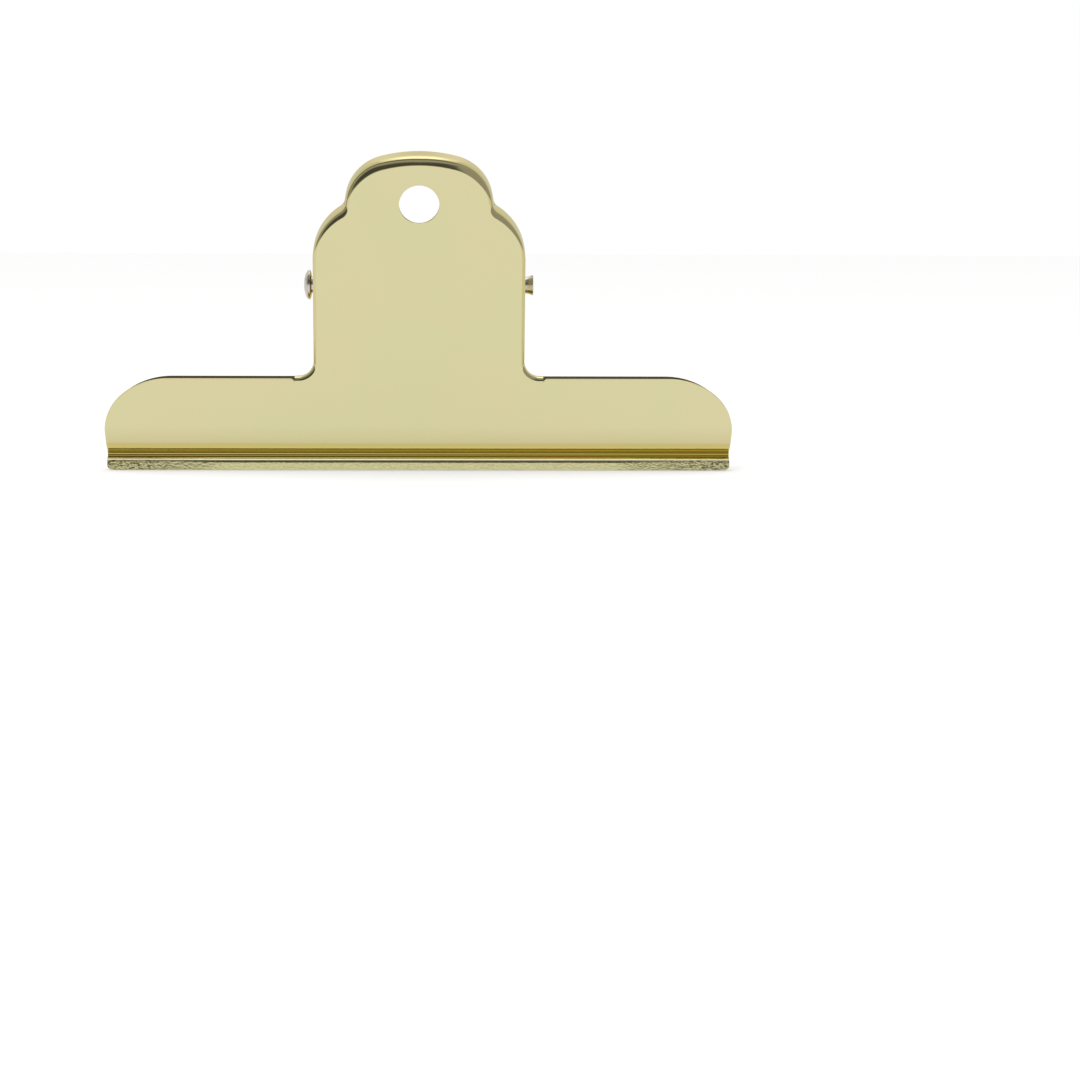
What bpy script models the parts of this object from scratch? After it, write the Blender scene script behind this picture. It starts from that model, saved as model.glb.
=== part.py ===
# Wide sprung paper clamp: two plated steel plates on one rivet, closed by a double torsion spring.
# Sizes are in metres. The handles stand up, the jaw lips rest on Z = 0 and the front plate faces -Y.

import math

import bmesh
import bpy
from mathutils import Matrix, Vector

# Whole clamp
CLAMP_HEIGHT = 0.0759
JAW_WIDTH = 0.1500
PIVOT_HEIGHT = 0.0442
LEAN = math.radians(16)

# Steel sheet
SHEET = 0.0009
BEND_RADIUS = 0.0025
SIDE_BEND_RADIUS = 0.0017
FOOT_BEND_RADIUS = 0.0011

# Jaw, from its lip up: outer radii of the rolled lip and the groove, and the turn of each
JAW_GAP = 0.0003
LIP_HEIGHT = 0.00165
LIP_RADIUS = 0.0014
LIP_TURN = math.radians(90)
GROOVE_RADIUS = 0.0006
GROOVE_OPENING = math.radians(60)
FACE_RADIUS = 0.0045

# Wings
WING_HEIGHT = 0.0218
WIDEST_HEIGHT = 0.0095
END_LENGTH = 0.0155
JAW_END_INSET = 0.0005
LIP_CORNER = 0.0011

# Handle outline
HANDLE_WIDTH = 0.0502
TOP_RADIUS = 0.03485
CORNER_RADIUS = 0.01145
CORNER_OFFSET = 0.0060
FLARE = math.radians(9.35)
NECK_RADIUS = 0.0023
SHOULDER_RADIUS = 0.01447
SHOULDER_HEIGHT = 0.0497
WIDE_BEND_START = 0.0570
WIDE_BEND_FULL = 0.0670
FILLET_RADIUS = 0.0035
FILLET_HEIGHT = 0.0256
FILLET_TURN = math.radians(90)
RIM_REACH = 0.0010
HOLE_DIAMETER = 0.0095
HOLE_DROP = 0.0112

# Rim depth behind the face: along the handle, at the foot of the ears and at the ends beside the wings
RIM_DEPTH = 0.0063
EAR_FOOT_DEPTH = 0.0032
RIM_END_DEPTH = 0.0018
NOTCH = 0.0008

# Ears and rivet
EAR_RADIUS = 0.0055
EAR_CLEARANCE = 0.00035
RIVET_DIAMETER = 0.0040
RIVET_CLEARANCE = 0.0003
HEAD_DIAMETER = 0.00705
HEAD_THICKNESS = 0.0018
HEAD_UNDER = 0.0005
HEAD_FOOT = 0.0047
HEAD_PLAY = 0.0006
TAIL_LENGTH = 0.0022
TAIL_DIAMETER = 0.0049
TAIL_SPREAD = 0.0019
TAIL_EDGE = 0.0002

# Spring
WIRE_DIAMETER = 0.0020
COIL_CLEARANCE = 0.0006
COIL_TURNS = 4
COIL_GAP = 0.0006
COIL_INSET = 0.0015
LEG_HEIGHT = 0.0088
SEAT_GAP = 0.0003
BRIDGE_RADIUS = 0.0030

# Rounding of the rim's two end nubs
NUB_ROUNDING = 0.0003
NUB_POINTS = 3

# Base colours and roughness
PLATING_LOOK = ((0.66, 0.62, 0.37), 0.12)
RIVET_LOOK = ((0.62, 0.60, 0.55), 0.18)
WIRE_LOOK = ((0.42, 0.41, 0.39), 0.30)

# Fineness of the mesh
ARC_STEP = math.radians(7.5)
SMOOTH_BELOW = math.radians(35)
LIP_STEPS = 3
BEND_STEPS = 5
SIDE_STEPS = 22
WING_END_STEPS = 18
HOLE_STEPS = 40
TURNED_STEPS = 32
DOME_STEPS = 8
UNDER_STEPS = 3
FLARE_STEPS = 4
COIL_STEPS = 10
BRIDGE_STEPS = 6
WIRE_STEP = 0.0025
SAME_PLACE = 0.00005
PUNCH_REACH = 0.005


def steps_in(turn):
    return max(2, round(abs(turn) / ARC_STEP))


def turn_along(start, target, radius):
    # Points of an arc in the (out, up) plane; a heading is measured from up towards out
    out, up, heading = start
    sign = 1 if target > heading else -1
    steps = steps_in(target - heading)
    rows = []
    for i in range(1, steps + 1):
        angle = heading + (target - heading) * i / steps
        across = sign * radius * (math.cos(heading) - math.cos(angle))
        rise = sign * radius * (math.sin(angle) - math.sin(heading))
        rows.append((out + across, up + rise, angle))
    return rows


def jaw_section():
    # Outer face of the sheet from the cut edge of the lip to the start of the flat, as (out, up, heading)
    rows = [(0.0, LIP_HEIGHT * i / LIP_STEPS, 0.0) for i in range(LIP_STEPS + 1)]
    rows += turn_along(rows[-1], -LIP_TURN, LIP_RADIUS)
    rows += turn_along(rows[-1], 0.0, GROOVE_RADIUS)
    innermost = rows[-1][0]
    rows += turn_along(rows[-1], GROOVE_OPENING, GROOVE_RADIUS)
    rows += turn_along(rows[-1], LEAN, FACE_RADIUS)
    shift = JAW_GAP / 2 + SHEET - innermost
    return [(out + shift, up, heading) for out, up, heading in rows]


SECTION = jaw_section()
FLAT_OUT, FLAT_UP = SECTION[-1][:2]


def up_plate(height, behind=0.0):
    # Distance up the plate, from the start of the flat, of a point at this height and depth behind the face
    return (height - FLAT_UP - behind * math.sin(LEAN)) / math.cos(LEAN)


def on_plate(x, along, behind):
    # (x, out, up) of a point on the leaning plate
    out = FLAT_OUT + along * math.sin(LEAN) - behind * math.cos(LEAN)
    up = FLAT_UP + along * math.cos(LEAN) + behind * math.sin(LEAN)
    return x, out, up


def pivot_on_plate():
    # The rivet's axis in the plate's own directions: along it and behind its face
    along = (PIVOT_HEIGHT - FLAT_UP) * math.cos(LEAN) - FLAT_OUT * math.sin(LEAN)
    behind = (PIVOT_HEIGHT - FLAT_UP) * math.sin(LEAN) + FLAT_OUT * math.cos(LEAN)
    return along, behind


def arc(centre, radius, start, end, facing):
    # Points of an outline with the direction that faces away from the metal. Facing is -1 on a hollow corner
    steps = steps_in(end - start)
    points = []
    for i in range(steps + 1):
        angle = start + (end - start) * i / steps
        across, along = math.cos(angle), math.sin(angle)
        place = (centre[0] + radius * across, centre[1] + radius * along)
        points.append((place, (facing * across, facing * along)))
    return points


def joined(*stretches):
    # One outline from several, without the points that they share
    points = []
    for stretch in stretches:
        for place, facing in stretch:
            if not points or math.dist(points[-1][0], place) > SAME_PLACE:
                points.append((place, facing))
    return points


def neck_centre(corner_end, facing, shoulder):
    # Centre of the hollow arc that touches the flared side of the top lobe and the shoulder arc
    down = Vector((facing.y, -facing.x))
    beside = corner_end + NECK_RADIUS * facing
    offset = beside - shoulder
    along = offset.dot(down)
    reach = SHOULDER_RADIUS + NECK_RADIUS
    return beside - (along + math.sqrt(along * along - offset.length_squared + reach * reach)) * down


def handle_outline(half_width):
    # Outer face of the rim, right half, from its end beside the wing to the middle of the top
    top = up_plate(CLAMP_HEIGHT, RIM_DEPTH)
    top_centre = Vector((0.0, top - TOP_RADIUS))
    drop = math.sqrt((TOP_RADIUS - CORNER_RADIUS) ** 2 - CORNER_OFFSET ** 2)
    corner_centre = top_centre + Vector((CORNER_OFFSET, drop))
    meet = math.atan2(drop, CORNER_OFFSET)
    flared = Vector((math.cos(FLARE), math.sin(FLARE)))
    shoulder = Vector((half_width - SHOULDER_RADIUS, up_plate(SHOULDER_HEIGHT)))
    neck = neck_centre(corner_centre + CORNER_RADIUS * flared, flared, shoulder)
    touch = math.atan2(neck.y - shoulder.y, neck.x - shoulder.x)
    fillet = (half_width + FILLET_RADIUS, up_plate(FILLET_HEIGHT))
    foot = fillet[1] - FILLET_RADIUS
    rim_end = [((fillet[0] + RIM_REACH * share, foot), (0.0, 1.0)) for share in (1.0, 0.75, 0.5, 0.25)]
    side = []
    for i in range(1, SIDE_STEPS):
        along = fillet[1] + (shoulder.y - fillet[1]) * i / SIDE_STEPS
        side.append(((half_width, along), (1.0, 0.0)))
    return joined(
        rim_end,
        arc(fillet, FILLET_RADIUS, math.pi + FILLET_TURN, math.pi, -1),
        side,
        arc(shoulder, SHOULDER_RADIUS, 0.0, touch, 1),
        arc(neck, NECK_RADIUS, math.pi + touch, math.pi + FLARE, -1),
        arc(corner_centre, CORNER_RADIUS, FLARE, meet, 1),
        arc(top_centre, TOP_RADIUS, meet, math.pi / 2, 1),
    )


def eased(share):
    share = min(1.0, max(0.0, share))
    return share * share * (3 - 2 * share)


def bend_radius(along):
    # Radius of the bend into the rim: tight at the rim's ends, wider up the sides, widest round the top
    start, full = up_plate(WIDE_BEND_START), up_plate(WIDE_BEND_FULL)
    low = eased((along - up_plate(FILLET_HEIGHT) + FILLET_RADIUS) / FILLET_RADIUS)
    high = eased((along - start) / (full - start))
    radius = FOOT_BEND_RADIUS + (SIDE_BEND_RADIUS - FOOT_BEND_RADIUS) * low
    return radius + (BEND_RADIUS - SIDE_BEND_RADIUS) * high


def tangent_normal(foot, centre):
    # Facing direction of the straight edge from an ear's foot to its round end
    across, deep = foot[0] - centre[0], foot[1] - centre[1]
    middle = math.atan2(deep, across)
    spread = math.acos(EAR_RADIUS / math.hypot(across, deep))
    angles = (middle + spread, middle - spread)
    best = max(angles, key=math.sin)
    return math.cos(best), math.sin(best)


def rim_depth(along, step):
    # Depth of the rim behind the face: even round the handle, deep at the ears, low beside the wings
    shoulder, fillet = up_plate(SHOULDER_HEIGHT), up_plate(FILLET_HEIGHT)
    if along >= shoulder:
        return RIM_DEPTH
    if along <= fillet:
        low = RIM_END_DEPTH - NUB_ROUNDING * max(0.0, 1.0 - step / NUB_POINTS)
        nearness = max(0.0, (along - fillet + FILLET_RADIUS) / FILLET_RADIUS)
        return low + (EAR_FOOT_DEPTH - low) * nearness ** 2
    centre = pivot_on_plate()
    foot = (shoulder, RIM_DEPTH) if along > centre[0] else (fillet, EAR_FOOT_DEPTH)
    across, deep = tangent_normal(foot, centre)
    if abs(along - centre[0]) < EAR_RADIUS * abs(across):
        return centre[1] + math.sqrt(EAR_RADIUS ** 2 - (along - centre[0]) ** 2)
    return centre[1] + (EAR_RADIUS - across * (along - centre[0])) / deep


def jaw_half_width(up):
    # Half length of the jaw at this height: widest on the flat, shorter at the groove, round at the lip
    half = JAW_WIDTH / 2
    groove = LIP_HEIGHT + (LIP_RADIUS + GROOVE_RADIUS) * math.sin(LIP_TURN)
    if up < WIDEST_HEIGHT:
        half -= JAW_END_INSET * eased((WIDEST_HEIGHT - up) / (WIDEST_HEIGHT - groove))
    if up < LIP_CORNER:
        half -= LIP_CORNER - math.sqrt(LIP_CORNER ** 2 - (LIP_CORNER - up) ** 2)
    return half


def wing_outline(rim_end):
    # Right edge of the flat face, from the start of the flat round the wing's end to the end of the rim
    widest, top = up_plate(WIDEST_HEIGHT), up_plate(WING_HEIGHT)
    points = [(JAW_WIDTH / 2, widest)]
    for i in range(1, WING_END_STEPS + 1):
        angle = math.pi / 2 * i / WING_END_STEPS
        across = JAW_WIDTH / 2 - END_LENGTH * (1 - math.cos(angle))
        points.append((across, widest + (top - widest) * math.sin(angle)))
    points.append((rim_end + NOTCH, top))
    return points


def mirrored(points):
    return [((-x, along), (-across, up)) for (x, along), (across, up) in points]


def thicken(mesh, outward):
    # The sheet's other face, one thickness behind the first, and the cut edges between them
    behind = {v: mesh.verts.new(v.co - SHEET * normal) for v, normal in outward.items()}
    edges = [edge.link_loops[0] for edge in mesh.edges if edge.is_boundary]
    edges = [(loop.vert, loop.link_loop_next.vert) for loop in edges]
    for face in list(mesh.faces):
        mesh.faces.new([behind[v] for v in reversed(face.verts)])
    for a, b in edges:
        mesh.faces.new((b, a, behind[a], behind[b]))


def plate_mesh(side, half_width):
    # One plate; side is -1 for the front plate and 1 for the rear one
    mesh = bmesh.new()
    outward = {}

    def vertex(place, normal):
        x, out, up = place
        across, outer, above = normal
        made = mesh.verts.new((x, side * out, up))
        outward[made] = Vector((across, side * outer, above))
        return made

    face_normal = (0.0, math.cos(LEAN), -math.sin(LEAN))
    right, left = [], []
    for out, up, heading in SECTION:
        normal = (0.0, math.cos(heading), -math.sin(heading))
        right.append(vertex((jaw_half_width(up), out, up), normal))
        left.append(vertex((-jaw_half_width(up), out, up), normal))
    for i in range(len(SECTION) - 1):
        mesh.faces.new((right[i], right[i + 1], left[i + 1], left[i]))

    half = handle_outline(half_width)
    outline = half + mirrored(half[:-1])[::-1]
    depths = [rim_depth(place[1], i) for i, (place, _) in enumerate(half)]
    depths += depths[:-1][::-1]
    bends = [bend_radius(place[1]) for place, _ in outline]
    inner = []
    for ((x, along), (across, up)), bend in zip(outline, bends):
        place = on_plate(x - bend * across, along - bend * up, 0.0)
        inner.append(vertex(place, face_normal))
    wing = wing_outline(inner[0].co.x)
    wing_right = [vertex(on_plate(x, along, 0.0), face_normal) for x, along in wing]
    wing_left = [vertex(on_plate(-x, along, 0.0), face_normal) for x, along in wing]
    mesh.faces.new([left[-1], right[-1]] + wing_right + inner + wing_left[::-1])

    previous = inner
    for row in range(1, BEND_STEPS + 2):
        turn = math.pi / 2 * min(1.0, row / BEND_STEPS)
        current = []
        for ((x, along), (across, up)), depth, bend in zip(outline, depths, bends):
            outer = bend * (math.sin(turn) - 1)
            behind = depth if row > BEND_STEPS else bend * (1 - math.cos(turn))
            place = on_plate(x + outer * across, along + outer * up, behind)
            facing = on_plate(across * math.sin(turn), up * math.sin(turn), -math.cos(turn))
            normal = Vector(facing) - Vector(on_plate(0.0, 0.0, 0.0))
            current.append(vertex(place, normal))
        for i in range(len(outline) - 1):
            mesh.faces.new((previous[i], previous[i + 1], current[i + 1], current[i]))
        previous = current

    thicken(mesh, outward)
    bmesh.ops.recalc_face_normals(mesh, faces=mesh.faces)
    return mesh


def material(name, colour, roughness):
    made = bpy.data.materials.new(name)
    made.use_nodes = True
    shader = made.node_tree.nodes["Principled BSDF"]
    shader.inputs["Base Color"].default_value = (*colour, 1.0)
    shader.inputs["Roughness"].default_value = roughness
    shader.inputs["Metallic"].default_value = 1.0
    return made


def new_object(name, mesh, finish):
    data = bpy.data.meshes.new(name)
    mesh.to_mesh(data)
    mesh.free()
    made = bpy.data.objects.new(name, data)
    bpy.context.collection.objects.link(made)
    if finish:
        data.materials.append(finish)
    return made


def cutter(name, diameter, length, place):
    # A round punch; place is its matrix, with Z along the hole
    mesh = bmesh.new()
    bmesh.ops.create_cone(
        mesh,
        cap_ends=True,
        segments=HOLE_STEPS,
        radius1=diameter / 2,
        radius2=diameter / 2,
        depth=length,
        matrix=place,
    )
    made = new_object(name, mesh, None)
    made.hide_render = True
    made.display_type = "WIRE"
    return made


def punch(target, tool):
    cut = target.modifiers.new(tool.name, "BOOLEAN")
    cut.operation = "DIFFERENCE"
    cut.solver = "EXACT"
    cut.object = tool


def smooth(made):
    made.data.shade_smooth()
    made.data.set_sharp_from_angle(angle=SMOOTH_BELOW)


def build_plate(name, side, half_width, finish):
    made = new_object(name, plate_mesh(side, half_width), finish)
    smooth(made)
    x, out, up = on_plate(0.0, up_plate(CLAMP_HEIGHT, RIM_DEPTH) - HOLE_DROP, SHEET / 2)
    across = Matrix.Translation((x, side * out, up)) @ Matrix.Rotation(math.pi / 2 - side * LEAN, 4, "X")
    punch(made, cutter(name + "_hole_punch", HOLE_DIAMETER, 2 * PUNCH_REACH, across))
    axle = Matrix.Translation((0.0, 0.0, PIVOT_HEIGHT)) @ Matrix.Rotation(math.pi / 2, 4, "Y")
    size = RIVET_DIAMETER + 2 * RIVET_CLEARANCE
    punch(made, cutter(name + "_ear_punch", size, HANDLE_WIDTH + 2 * PUNCH_REACH, axle))
    return made


def turned(name, profile, finish):
    # A solid of revolution about the pivot; the profile is (x, radius) from left to right
    mesh = bmesh.new()
    points = [mesh.verts.new((x, 0.0, radius)) for x, radius in profile]
    edges = [mesh.edges.new(pair) for pair in zip(points, points[1:])]
    bmesh.ops.spin(
        mesh,
        geom=points + edges,
        cent=(0.0, 0.0, 0.0),
        axis=(1.0, 0.0, 0.0),
        angle=2 * math.pi,
        steps=TURNED_STEPS,
        use_merge=True,
    )
    bmesh.ops.remove_doubles(mesh, verts=mesh.verts, dist=SAME_PLACE)
    bmesh.ops.recalc_face_normals(mesh, faces=mesh.faces)
    made = new_object(name, mesh, finish)
    made.location = (0.0, 0.0, PIVOT_HEIGHT)
    smooth(made)
    return made


def build_rivet(finish):
    # Domed head on the left, rounded beneath; straight shank; tail spreading beyond the right ear
    shank, head, tail = RIVET_DIAMETER / 2, HEAD_DIAMETER / 2, TAIL_DIAMETER / 2
    under_head = -HANDLE_WIDTH / 2 - HEAD_PLAY
    end = HANDLE_WIDTH / 2 + TAIL_LENGTH
    dome, foot = HEAD_THICKNESS - HEAD_UNDER, HEAD_FOOT / 2
    profile = []
    for i in range(DOME_STEPS + 1):
        angle = math.pi / 2 * i / DOME_STEPS
        profile.append((under_head - HEAD_UNDER - dome * math.cos(angle), head * math.sin(angle)))
    for i in range(1, UNDER_STEPS + 1):
        angle = math.pi / 2 * i / UNDER_STEPS
        across = HEAD_UNDER * (1 - math.sin(angle))
        profile.append((under_head - across, foot + (head - foot) * math.cos(angle)))
    profile += [(under_head, shank), (end - TAIL_SPREAD, shank)]
    for i in range(1, FLARE_STEPS + 1):
        share = i / FLARE_STEPS
        along = end - TAIL_SPREAD + (TAIL_SPREAD - TAIL_EDGE) * share
        profile.append((along, shank + (tail - shank) * share ** 2))
    profile += [(end, tail - TAIL_EDGE), (end, 0.0)]
    return turned("pivot_rivet", profile, finish)


def rear_half_width():
    return HANDLE_WIDTH / 2 - SHEET - EAR_CLEARANCE


def seat(side, height):
    # Where the wire's centre lies against the inner face of a handle, this high above the pivot
    behind = SHEET + SEAT_GAP + WIRE_DIAMETER / 2
    x, out, up = on_plate(0.0, up_plate(PIVOT_HEIGHT + height, behind), behind)
    return Vector((0.0, side * out, up))


def leg_angle(tip, radius, side):
    # Angle about the pivot, from +Y towards +Z, at which a straight leg to the tip leaves the coil
    offset = Vector((tip.y, tip.z - PIVOT_HEIGHT))
    spread = math.acos(radius / offset.length)
    return math.atan2(offset.y, offset.x) - side * spread


def straight(start, end):
    count = max(1, round((end - start).length / WIRE_STEP))
    return [start.lerp(end, i / count) for i in range(count + 1)]


def spring_half():
    # Right half of the wire: rear leg, coil from outside to inside, front leg and half of the bridge
    radius = RIVET_DIAMETER / 2 + COIL_CLEARANCE + WIRE_DIAMETER / 2
    pitch = WIRE_DIAMETER + COIL_GAP
    outer_x = rear_half_width() - SHEET - COIL_INSET - WIRE_DIAMETER / 2
    rear_tip, front_tip = seat(1, LEG_HEIGHT), seat(-1, LEG_HEIGHT)
    start = leg_angle(rear_tip, radius, 1)
    end = leg_angle(front_tip, radius, -1)
    turn = (start - end) % (2 * math.pi) + 2 * math.pi * COIL_TURNS
    count = math.ceil(turn / (2 * math.pi) * COIL_STEPS)
    coil = []
    for i in range(count + 1):
        angle = start - turn * i / count
        x = outer_x - pitch * turn / (2 * math.pi) * i / count
        coil.append(Vector((x, radius * math.cos(angle), PIVOT_HEIGHT + radius * math.sin(angle))))
    rear_tip.x = coil[0].x
    front_tip.x = coil[-1].x
    rise = (front_tip - coil[-1]).normalized()
    corner = front_tip - BRIDGE_RADIUS * rise
    bend = []
    for i in range(1, BRIDGE_STEPS + 1):
        angle = math.pi / 2 * i / BRIDGE_STEPS
        inward = Vector((-BRIDGE_RADIUS * (1 - math.cos(angle)), 0.0, 0.0))
        bend.append(corner + inward + rise * BRIDGE_RADIUS * math.sin(angle))
    leg = straight(rear_tip, coil[0])[:-1]
    front = straight(coil[-1], corner)[1:]
    bridge = straight(bend[-1], Vector((0.0, bend[-1].y, bend[-1].z)))[1:]
    return leg + coil + front + bend + bridge


def least_gap(points):
    # Least clear distance between stretches of the wire that are not neighbours along it
    along = [0.0]
    for a, b in zip(points, points[1:]):
        along.append(along[-1] + (b - a).length)
    apart = [
        (a - b).length
        for i, a in enumerate(points)
        for j, b in enumerate(points[:i])
        if along[i] - along[j] > math.pi / 2 * WIRE_DIAMETER
    ]
    return min(apart) - WIRE_DIAMETER


def build_spring(finish):
    half = spring_half()
    points = half + [Vector((-p.x, p.y, p.z)) for p in half[:-1]][::-1]
    curve = bpy.data.curves.new("torsion_spring", "CURVE")
    curve.dimensions = "3D"
    curve.bevel_depth = WIRE_DIAMETER / 2
    curve.bevel_resolution = 1
    curve.use_fill_caps = True
    line = curve.splines.new("POLY")
    line.points.add(len(points) - 1)
    pivot = Vector((0.0, 0.0, PIVOT_HEIGHT))
    for target, point in zip(line.points, points):
        target.co = (*(point - pivot), 1.0)
    made = bpy.data.objects.new("torsion_spring", curve)
    made.location = pivot
    bpy.context.collection.objects.link(made)
    curve.materials.append(finish)
    print(f"spring: least gap to itself {least_gap(points) * 1000:.2f} mm over {len(points)} points")
    return made


def hang_on_pivot(made):
    # An empty on the rivet's axis carries what turns about it
    hinge = bpy.data.objects.new("rear_hinge", None)
    hinge.location = (0.0, 0.0, PIVOT_HEIGHT)
    bpy.context.collection.objects.link(hinge)
    bpy.context.view_layer.update()
    made.parent = hinge
    made.matrix_parent_inverse = hinge.matrix_world.inverted()


def build():
    for old in list(bpy.data.objects):
        bpy.data.objects.remove(old)
    plating = material("champagne_plating", *PLATING_LOOK)
    build_plate("front_plate", -1, HANDLE_WIDTH / 2, plating)
    hang_on_pivot(build_plate("rear_plate", 1, rear_half_width(), plating))
    build_rivet(material("bright_nickel", *RIVET_LOOK))
    build_spring(material("spring_steel", *WIRE_LOOK))


build()
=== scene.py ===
import math

import bmesh
import bpy
from mathutils import Matrix, Vector


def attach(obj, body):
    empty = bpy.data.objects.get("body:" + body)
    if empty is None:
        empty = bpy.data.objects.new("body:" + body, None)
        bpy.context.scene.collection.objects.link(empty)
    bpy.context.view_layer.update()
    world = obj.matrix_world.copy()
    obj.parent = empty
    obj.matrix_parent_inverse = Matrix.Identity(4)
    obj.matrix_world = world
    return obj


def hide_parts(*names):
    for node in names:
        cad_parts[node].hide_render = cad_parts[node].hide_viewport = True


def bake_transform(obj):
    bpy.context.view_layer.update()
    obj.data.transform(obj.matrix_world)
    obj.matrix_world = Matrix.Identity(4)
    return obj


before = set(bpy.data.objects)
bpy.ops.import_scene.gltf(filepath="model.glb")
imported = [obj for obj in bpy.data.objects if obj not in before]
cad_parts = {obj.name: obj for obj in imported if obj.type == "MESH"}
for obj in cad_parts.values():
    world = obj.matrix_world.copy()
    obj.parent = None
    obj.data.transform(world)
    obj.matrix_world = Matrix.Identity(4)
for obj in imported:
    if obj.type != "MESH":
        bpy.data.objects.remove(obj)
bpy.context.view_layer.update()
print("frame loaded:", sorted(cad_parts))

# Lengths are in metres, as in the frame: the jaw stands on Z = 0 and the front plate faces -Y.

plateSizes = {
    "height": 0.0759,
    "jawWidth": 0.1500,
    "pivotHeight": 0.0442,
    "lean": math.radians(16),
    "sheet": 0.0009,
    "bendRadius": 0.0025,
    "sideBendRadius": 0.0017,
    "footBendRadius": 0.0011,
    "jawGap": 0.0003,
    "lipHeight": 0.00165,
    "lipRadius": 0.0014,
    "lipTurn": math.radians(90),
    "grooveRadius": 0.0006,
    "grooveOpening": math.radians(60),
    "faceRadius": 0.0045,
    "wingHeight": 0.0218,
    "widestHeight": 0.0095,
    "endLength": 0.0155,
    "jawEndInset": 0.0005,
    "lipCorner": 0.0011,
    "handleWidth": 0.0502,
    "topRadius": 0.03485,
    "cornerRadius": 0.01145,
    "cornerOffset": 0.0060,
    "flare": math.radians(9.35),
    "neckRadius": 0.0023,
    "shoulderRadius": 0.01447,
    "shoulderHeight": 0.0497,
    "wideBendStart": 0.0570,
    "wideBendFull": 0.0670,
    "filletRadius": 0.0035,
    "filletHeight": 0.0256,
    "filletTurn": math.radians(90),
    "rimReach": 0.0010,
    "holeDiameter": 0.0095,
    "holeDrop": 0.0112,
    "rimDepth": 0.0063,
    "earFootDepth": 0.0032,
    "rimEndDepth": 0.0018,
    "nubRounding": 0.0003,
    "notch": 0.0008,
    "earRadius": 0.0055,
    "earClearance": 0.00035,
    "earHole": 0.0046,
    "punchReach": 0.005,       # how far a punch stands out of the sheet
    "edgeRounding": 0.00008,   # the tumbled edge of the cut sheet
    "arcStep": math.radians(3),
    "bendSteps": 14,
}

# the rear plate's rim ends and hanging hole stay hidden behind the front plate's
rearSizes = {**plateSizes, "filletHeight": 0.0252, "holeDiameter": 0.0099, "holeDrop": 0.0114}

# half widths of the two handles: the rear ears fit inside the front ones
frontHalf = plateSizes["handleWidth"] / 2
rearHalf = frontHalf - plateSizes["sheet"] - plateSizes["earClearance"]


def stepsIn(turn):
    return max(3, round(abs(turn) / plateSizes["arcStep"]))


def turnAlong(start, target, radius):
    # arc of the bent sheet in the (out, up) plane, headings measured from up towards out
    out, up, heading = start
    sign = 1 if target > heading else -1
    steps = stepsIn(target - heading)
    rows = []
    for i in range(1, steps + 1):
        angle = heading + (target - heading) * i / steps
        across = sign * radius * (math.cos(heading) - math.cos(angle))
        rise = sign * radius * (math.sin(angle) - math.sin(heading))
        rows.append((out + across, up + rise, angle))
    return rows


def jawSection(p):
    # outer face of the sheet from the lip's cut edge to the start of the flat
    rows = [(0.0, p["lipHeight"] * i / 8, 0.0) for i in range(9)]
    rows += turnAlong(rows[-1], -p["lipTurn"], p["lipRadius"])
    rows += turnAlong(rows[-1], 0.0, p["grooveRadius"])
    innermost = rows[-1][0]
    rows += turnAlong(rows[-1], p["grooveOpening"], p["grooveRadius"])
    rows += turnAlong(rows[-1], p["lean"], p["faceRadius"])
    shift = p["jawGap"] / 2 + p["sheet"] - innermost
    return [(out + shift, up, heading) for out, up, heading in rows]


section = jawSection(plateSizes)
flatOut, flatUp = section[-1][:2]
sinLean, cosLean = math.sin(plateSizes["lean"]), math.cos(plateSizes["lean"])


def upPlate(height, behind=0.0):
    return (height - flatUp - behind * sinLean) / cosLean


def onPlate(x, along, behind):
    # a point up the leaning plate and behind its face, as (x, out, up)
    out = flatOut + along * sinLean - behind * cosLean
    up = flatUp + along * cosLean + behind * sinLean
    return x, out, up


def arcPoints(centre, radius, start, end, facing):
    # places on an arc, each with the direction that looks away from the metal
    steps = stepsIn(end - start)
    points = []
    for i in range(steps + 1):
        angle = start + (end - start) * i / steps
        across, along = math.cos(angle), math.sin(angle)
        place = (centre[0] + radius * across, centre[1] + radius * along)
        points.append((place, (facing * across, facing * along)))
    return points


def joinStretches(*stretches):
    points = []
    for stretch in stretches:
        for place, facing in stretch:
            if not points or math.dist(points[-1][0], place) > 0.00004:
                points.append((place, facing))
    return points


def neckCentre(cornerEnd, facing, shoulder, p):
    down = Vector((facing.y, -facing.x))
    beside = cornerEnd + p["neckRadius"] * facing
    offset = beside - shoulder
    along = offset.dot(down)
    reach = p["shoulderRadius"] + p["neckRadius"]
    return beside - (along + math.sqrt(along * along - offset.length_squared + reach * reach)) * down


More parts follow.
